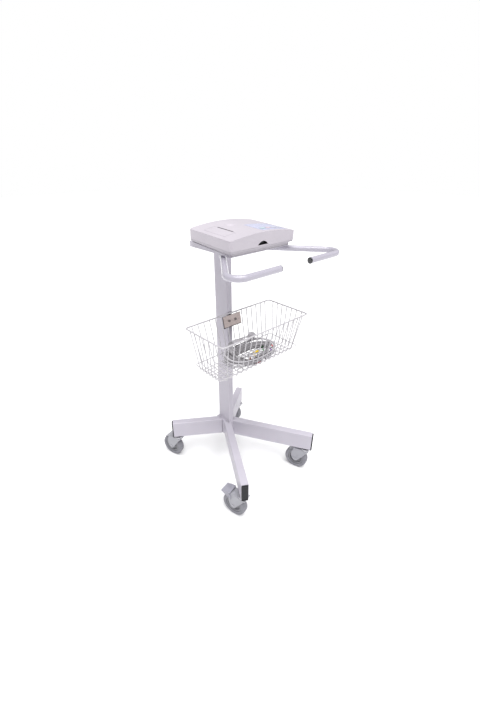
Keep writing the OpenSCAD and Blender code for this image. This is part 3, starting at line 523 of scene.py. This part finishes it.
# Radius and height along a plug, from its boot to its pin
GRIP_PROFILE = ((0, -1), (1.9, -1), (2.3, 3), (2.7, 4), (2.7, 5), (3.6, 7), (3.9, 12))
GRIP_PROFILE += ((3.7, 18), (3.9, 20.5), (3.2, 21.5), (0, 21.5))
BAND_PROFILE = ((0, 9), (4.0, 9), (4.2, 9.6), (4.2, 14.4), (4.0, 15), (0, 15))
PIN_PROFILE = ((0, 21), (1.9, 21), (1.9, 27), (1.3, 28.5), (0, 28.8))


def turned_piece(name, profile, steps, at, mat):
    """A piece turned on a lathe from a profile in mm."""
    bm = bmesh.new()
    add_lathe(bm, profile, steps, at)
    return finish_mesh(name, bm, mat)


def moulding(name, colour):
    """Glossy coloured plastic of a small moulded piece."""
    return coated(name, colour, shade(colour, 0.85), 0.35, 1500)


def electrode_plug(name, colour, start, onward):
    """A moulded plug for an electrode: boot, grip with a coloured band, metal pin."""
    at = along(start, start + onward)
    grip = "plug_" + name
    parts = [turned_piece(grip, GRIP_PROFILE, 20, at, moulding(grip, colour))]
    if name in BANDS:
        band = "band_" + name
        parts.append(turned_piece(band, BAND_PROFILE, 20, at, moulding(band, BANDS[name])))
    parts.append(turned_piece("pin_" + name, PIN_PROFILE, 16, at, ZINC))
    return parts


LEAD_COLUMNS, LEAD_PITCH = 5, 4.4  # the leads lie beside each other in rows of five
LAYER_TURN, LAYER_RISE = 0.74, 9.5  # where a lead joins its layer, and its rise in a turn
LEAVE_TURN = 0.24  # how far before its end a lead leaves its layer


def lead_points(i, end, end_offset, end_z):
    """Route of lead i: out of the yoke, down inside the coil, round in its layer, to its end."""
    column, row = i % LEAD_COLUMNS, i // LEAD_COLUMNS
    deep_column, deep_row = i % 2, i // 2
    packed = -15.5 + LEAD_PITCH * column
    low = 2.6 + LEAD_PITCH * row
    stations = [
        (0.3245, 12.6 - 4.19 * column, YOKE_Z - 1.5 + 3.05 * row),
        (0.345, 11.8 - 3.9 * column, YOKE_Z - 2.4 + 3.05 * row),
        (0.41, -4 - 2.6 * column, 37 + 2.0 * row),
        (0.48, -18 - 3.4 * deep_column, 21 + 3.0 * deep_row),
        (0.57, -21.5 - 3.4 * deep_column, 5.5 + 3.0 * deep_row),
        (LAYER_TURN, packed, low),
        (1.5, packed, low + LAYER_RISE * (1.5 - LAYER_TURN)),
        (end - LEAVE_TURN, packed, low + LAYER_RISE * (end - LEAVE_TURN - LAYER_TURN)),
    ]
    if end_z < 20:  # it ends low, outside the coil: first over the pile
        stations += [(end - 0.15, 8, 36), (end - 0.07, end_offset + 0.6, 24)]
    else:
        stations += [(end - 0.08, (packed + 3 * end_offset) / 4, end_z + 1)]
    return winding(stations + [(end, end_offset, end_z)], 1.1, 0.9 * i)


for i, (name, colour, end, end_offset, end_z) in enumerate(LEADS):
    points = lead_points(i, end, end_offset, end_z)
    # The leads take the darker sheath, painted shade inside the coil.
    lead = cord_curve("lead_" + name, points, LEAD_R, SHADED_LEAD)
    onward = points[-1] - points[-2]
    onward.z = 0
    electrode_plug(name, colour, points[-1], onward)


def riding(x, lift):
    """Place on the sloping top of the pile, lift above it."""
    at = Matrix.Translation((COIL_AT + Vector((x, RIDE_Y, RIDE_Z))) * MM)
    return at @ Matrix.Rotation(RIDE_TILT, 4, "X") @ moved(0, 0, lift)


# Ribbed boots: radius, and height from the middle of the yoke or the plug
YOKE_BOOT = ((0, 12), (4.6, 12), (4.6, 14), (4.1, 14.6), (4.4, 15.6), (3.8, 16.4))
YOKE_BOOT += ((4.1, 17.4), (3.5, 18.2), (3.8, 19.2), (3.2, 20.2), (0, 20.2))
PLUG_BOOT = ((0, 11), (4.8, 11), (4.6, 13.2), (4.0, 13.8), (4.3, 15), (3.7, 15.8))
PLUG_BOOT += ((4.0, 17), (3.4, 17.8), (3.6, 19.4), (3.2, 20.6), (0, 20.6))
COLLAR_PROFILE = ((0, -1), (2.0, -1), (1.7, 3), (0, 3))
HOOD_SIDE = ((-12, 4.6), (-4, 7.6), (4, 12.4), (15, 12.4))
YOKE_T, HOOD_T = 9.2, 14.4  # thicknesses


def cable_yoke():
    """The yoke where the trunk splits into leads, with a boot and a collar for each lead."""
    at = riding(-30, 5)
    bm = bmesh.new()
    add_prism(bm, rounded_box(16, 9.6, 3), YOKE_T, at @ moved(-2, 0, -YOKE_T / 2))
    yoke = finish_mesh("cable_yoke_body", bm, BOOT, bevel=1.2 * MM, segments=3)
    turned_piece("cable_yoke_boot", YOKE_BOOT, 20, at @ turned(90, "Y"), BOOT)
    bm = bmesh.new()
    for i in range(len(LEADS)):
        column, row = i % LEAD_COLUMNS, i // LEAD_COLUMNS
        collar = moved(-18, -7.6 + 3.8 * column, -1.8 + 3.6 * row) @ turned(-90, "Y")
        add_lathe(bm, COLLAR_PROFILE, 12, at @ collar)
    finish_mesh("cable_yoke_collars", bm, BOOT)
    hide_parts("cable_yoke")


def cable_plug():
    """The plug on the trunk's far end: hood, metal shell and ribbed boot."""
    at = riding(40, 7.5)
    outline = HOOD_SIDE + tuple((x, -y) for x, y in reversed(HOOD_SIDE))
    bm = bmesh.new()
    add_prism(bm, outline, HOOD_T, at @ moved(0, 0, -HOOD_T / 2))
    hood = finish_mesh("cable_plug_hood", bm, BOOT, bevel=1.4 * MM, segments=3)
    bm = bmesh.new()
    add_prism(bm, rounded_box(4.6, 9.6, 1.6), 5.6, at @ moved(15, 0, 0) @ turned(90, "Y"))
    shell = finish_mesh("cable_plug_shell", bm, ZINC, bevel=0.4 * MM)
    boot_at = at @ turned(-90, "Y")
    boot = turned_piece("cable_plug_boot", PLUG_BOOT, 20, boot_at, BOOT)
    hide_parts("cable_plug")
    return [hood, shell, boot]


cable_yoke()
plug_parts = cable_plug()
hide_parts("patient_cable_coil")


# ---------------------------------------------------------------- basket
RIM_CORNER, HOOP_CORNER, WIRE_BEND = 10, 9, 9  # radii of the bends
WIRE_INSET = 2.2  # the wires reach the rim this far inside its middle
LAYER_DROP = 3.1  # the short wires cross under the long ones
HOOP_RISE, HOOP_OUT = 14, 2.9  # the hoop goes round outside the walls, above the floor
# Painted shade: a dark sheet behind the basket's clamp plate stands in for the shade on the
# plate's left side and under it.
SHADOW_SHEET_X, SHADOW_SHEET_Z, SHADOW_SHEET_T = 43.5, 22.5, 0.9  # half sizes and thickness
CLAMP_BELOW = 26  # middle of the clamp, below the rim


def basket_point(x, y, z):
    """A point given in mm from the middle of the basket, in metres."""
    return Vector((x, BASKET_Y + y, z)) * MM


def cross_wire(top, low, height):
    """One wire from rim to rim: down a wall, across the floor and up the other wall."""
    bend = WIRE_BEND * MM
    a, b = basket_point(*top[0], RIM_Z), basket_point(*low[0], height)
    c, d = basket_point(*low[1], height), basket_point(*top[1], RIM_Z)
    return [a, *bend_corner(a, b, c, bend), *bend_corner(b, c, d, bend), d]


def rounded_loop(x, y, z, r, steps=8):
    """A level loop round the basket, in metres."""
    return [basket_point(px, py, z) for px, py in rounded_box(x, y, r, steps)]


def wire_piece(name, paths, radius=WIRE_R, sides=8, closed=False):
    """A piece of coated wires of one thickness."""
    bm = bmesh.new()
    for path in paths:
        add_tube(bm, path, radius * MM, sides, closed)
    return finish_mesh(name, bm, WIRE)


def clamp_shadow_sheet(slope):
    """A dark sheet behind the clamp plate: painted shade that shows below the plate and on its
    left.
    """
    at = Matrix.Translation(
        basket_point(0, RIM_Y - CLAMP_BELOW * math.tan(slope), RIM_Z - CLAMP_BELOW)
    )
    at = at @ Matrix.Rotation(-slope, 4, "X") @ moved(-1.1, -WIRE_R - 0.15, -1.1)
    bm = bmesh.new()
    add_prism(bm, rounded_box(SHADOW_SHEET_X, SHADOW_SHEET_Z, 1), SHADOW_SHEET_T, at @ turned(90, "X"))
    finish_mesh("basket_clamp_painted_shade", bm, RUBBER)


rim_path = rounded_loop(RIM_X, RIM_Y, RIM_Z, RIM_CORNER)
rim = wire_piece("basket_rim_wire", [rim_path], RIM_R, 14, closed=True)
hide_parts("basket_rim")

paths = []
for i in range(-7, 8):
    x_top, x_low, y_top = i / 8 * RIM_X, i / 8 * FLOOR_X, RIM_Y - WIRE_INSET
    top, low = [(x_top, y_top), (x_top, -y_top)], [(x_low, FLOOR_Y), (x_low, -FLOOR_Y)]
    paths.append(cross_wire(top, low, FLOOR_Z))
long_wires = wire_piece("basket_long_wires", paths)
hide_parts("basket_back", "basket_front", "basket_floor")

paths = []
for j in range(-3, 4):
    y_top, y_low, x_top = j / 4 * RIM_Y, j / 4 * FLOOR_Y, RIM_X - WIRE_INSET
    top, low = [(x_top, y_top), (-x_top, y_top)], [(FLOOR_X, y_low), (-FLOOR_X, y_low)]
    paths.append(cross_wire(top, low, FLOOR_Z - LAYER_DROP))
short_wires = wire_piece("basket_short_wires", paths)
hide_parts("basket_left", "basket_right")

spread = HOOP_RISE / (RIM_Z - FLOOR_Z)
hoop_x = FLOOR_X + spread * (RIM_X - FLOOR_X) + HOOP_OUT
hoop_y = FLOOR_Y + spread * (RIM_Y - FLOOR_Y) + HOOP_OUT
hoop_path = rounded_loop(hoop_x, hoop_y, FLOOR_Z + HOOP_RISE, HOOP_CORNER)
wire_piece("basket_hoop_wire", [hoop_path], closed=True)

# Painted shade at the clamp plate: a dark sheet behind it, showing below and on the left.
clamp_shadow_sheet(math.atan((RIM_Y - FLOOR_Y) / (RIM_Z - FLOOR_Z)))
keep("basket_clamp_plate", STAINLESS, 0.5 * MM)
keep("basket_wedge", CLAMP_BLACK, 0.8 * MM)
keep("basket_screws", DARK_STEEL, 0.4 * MM)


# ---------------------------------------------------------------- trolley frame
CAP_INSET, CAP_T = 2.6, 4.9  # the cap's plate is smaller than the tube
LIP_FROM, LIP_Y, LIP_T, LIP_DROP = -35.9, 12.3, 2.9, 2.95  # the lip under the tube
BEAD_X, BEAD_Y, BEAD_CORNER, BEAD_R = 12.4, 36.4, 4, 1.5


def leg_end(name, x):
    """Local X runs out along the leg, and the origin is x from the column axis."""
    turn = turned(LEGS[name][0], "Z")
    return moved(0, COL_Y, 0) @ turn @ moved(x, 0, LEG_TOP - LEG_H / 2)


def build_leg(name):
    """A rectangular tube with rounded corners, from inside the hub to its cap."""
    outline = rounded_box(LEG_H / 2, LEG_W / 2, LEG_CORNER)
    bm = bmesh.new()
    add_prism(bm, outline, LEGS[name][1] - LEG_FROM, leg_end(name, LEG_FROM) @ turned(90, "Y"))
    leg = finish_mesh("leg_tube_" + name, bm, PAINT, angle=60)
    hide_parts("leg_" + name)


def build_leg_caps():
    """Plastic caps: a plate over the end of the tube and a lip under it."""
    plate = rounded_box(LEG_H / 2 - CAP_INSET, LEG_W / 2 - CAP_INSET, 2.4)
    lip = ((LIP_FROM, -LIP_Y), (CAP_T, -LIP_Y), (CAP_T, LIP_Y), (LIP_FROM, LIP_Y))
    bm = bmesh.new()
    for name, (_, length) in LEGS.items():
        at = leg_end(name, length)
        add_prism(bm, plate, CAP_T, at @ turned(90, "Y"))
        add_prism(bm, lip, LIP_T, at @ moved(0, 0, -LEG_H / 2 - LIP_DROP))
    caps = finish_mesh("leg_end_caps", bm, BLACK, bevel=0.6 * MM)
    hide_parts("leg_caps")


def build_weld():
    """The painted weld bead where the column meets the hub."""
    corner = rounded_box(BEAD_X, BEAD_Y, BEAD_CORNER)
    path = [Vector((x, COL_Y + y, LEG_TOP + 0.4)) * MM for x, y in corner]
    bm = bmesh.new()
    add_tube(bm, path, BEAD_R * MM, 8, closed=True)
    finish_mesh("column_weld_bead", bm, PAINT)


for leg_name in LEGS:
    build_leg(leg_name)
build_leg_caps()
build_weld()
keep("base_hub", PAINT, 1.6 * MM, 3)
keep("column", PAINT)
keep("head_plate", PAINT, 0.8 * MM)
keep("tray", PAINT, 0.7 * MM)
keep("column_bolts", ZINC)
keep("underframe_screws", ZINC)
keep("handle_left", HANDLE)
keep("handle_right", HANDLE)
keep("handle_caps", GLOSS_BLACK)
keep("handle_saddles", ZINC, 0.5 * MM)

# ---------------------------------------------------------------- casters
keep("caster_stems", ZINC, 0.5 * MM)
for leg_name in LEGS:
    keep("fork_" + leg_name, CASTER, 1.1 * MM, 3)
    keep("wheel_" + leg_name, HUB, 0.6 * MM)
    keep("tyre_" + leg_name, TYRE)
for leg_name in ("front_left", "rear_right"):
    keep("pedal_" + leg_name, PEDAL, 0.9 * MM, 3)

# ---------------------------------------------------------------- recorder
keep("lower_case", CASE, 0.5 * MM)
keep("upper_shell", SHELL, 0.9 * MM, 3)
keep("recorder_feet", RUBBER)
keep("paper_door", SHELL, 0.4 * MM)
keep("paper_roll", PAPER, 0.3 * MM)
keep("platen_roller", RUBBER)
keep("print_head", BLACK, 0.3 * MM)
keep("circuit_board", BOARD)
keep("battery_pack", WRAP, 0.8 * MM)
keep("power_supply", STAINLESS, 0.5 * MM)
keep("key_panel", PANEL)
keep("key_start", KEY_GREEN, 0.5 * MM, 3)
keep("key_stop", KEY_RED, 0.5 * MM, 3)
keep("key_mode", KEY_GREY, 0.5 * MM, 3)
keep("key_power", KEY_GREY, 0.5 * MM, 3)
keep("patient_socket", BLACK, 0.4 * MM)
keep("mains_inlet", BLACK, 0.5 * MM)
keep("mains_switch", GLOSS_BLACK, 0.5 * MM)

# ---------------------------------------------------------------- floor, light and world
STUDIO_SIZE, STUDIO_DROP = 14, -0.0002  # half size of the floor and its height, in metres
SUN_FROM, SUN_POWER, SUN_SPREAD = Vector((-0.1, -0.26, 0.96)), 4.0, 55
DOME_POWER = 0.43

bm = bmesh.new()
bmesh.ops.create_grid(bm, x_segments=2, y_segments=2, size=STUDIO_SIZE)
floor_mesh = bpy.data.meshes.new("floor")
bm.to_mesh(floor_mesh)
bm.free()
floor_mesh.materials.append(material("floor", (0.93, 0.93, 0.935), 0.75)[0])
floor = bpy.data.objects.new("floor", floor_mesh)
floor.location = (0, 0, STUDIO_DROP)
bpy.context.scene.collection.objects.link(floor)
floor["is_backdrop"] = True

sun = bpy.data.lights.new("overhead_softbox", "SUN")
sun.energy = SUN_POWER
sun.angle = math.radians(SUN_SPREAD)
sun_object = bpy.data.objects.new("overhead_softbox", sun)
sun_object.rotation_euler = (-SUN_FROM).to_track_quat("-Z", "Y").to_euler()
bpy.context.scene.collection.objects.link(sun_object)

world = bpy.data.worlds.new("studio")
bpy.context.scene.world = world
world.use_nodes = True
tree = world.node_tree
dome = tree.nodes["Background"]  # lights the object
dome.inputs["Color"].default_value = (1, 1, 1, 1)
dome.inputs["Strength"].default_value = DOME_POWER
backdrop = tree.nodes.new("ShaderNodeBackground")  # what the camera sees
backdrop.inputs["Color"].default_value = (1, 1, 1, 1)
rays = tree.nodes.new("ShaderNodeLightPath")
either = tree.nodes.new("ShaderNodeMixShader")
tree.links.new(rays.outputs["Is Camera Ray"], either.inputs[0])
tree.links.new(dome.outputs[0], either.inputs[1])
tree.links.new(backdrop.outputs[0], either.inputs[2])
tree.links.new(either.outputs[0], tree.nodes["World Output"].inputs["Surface"])
bpy.context.scene.view_settings.view_transform = "Standard"

low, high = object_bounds()
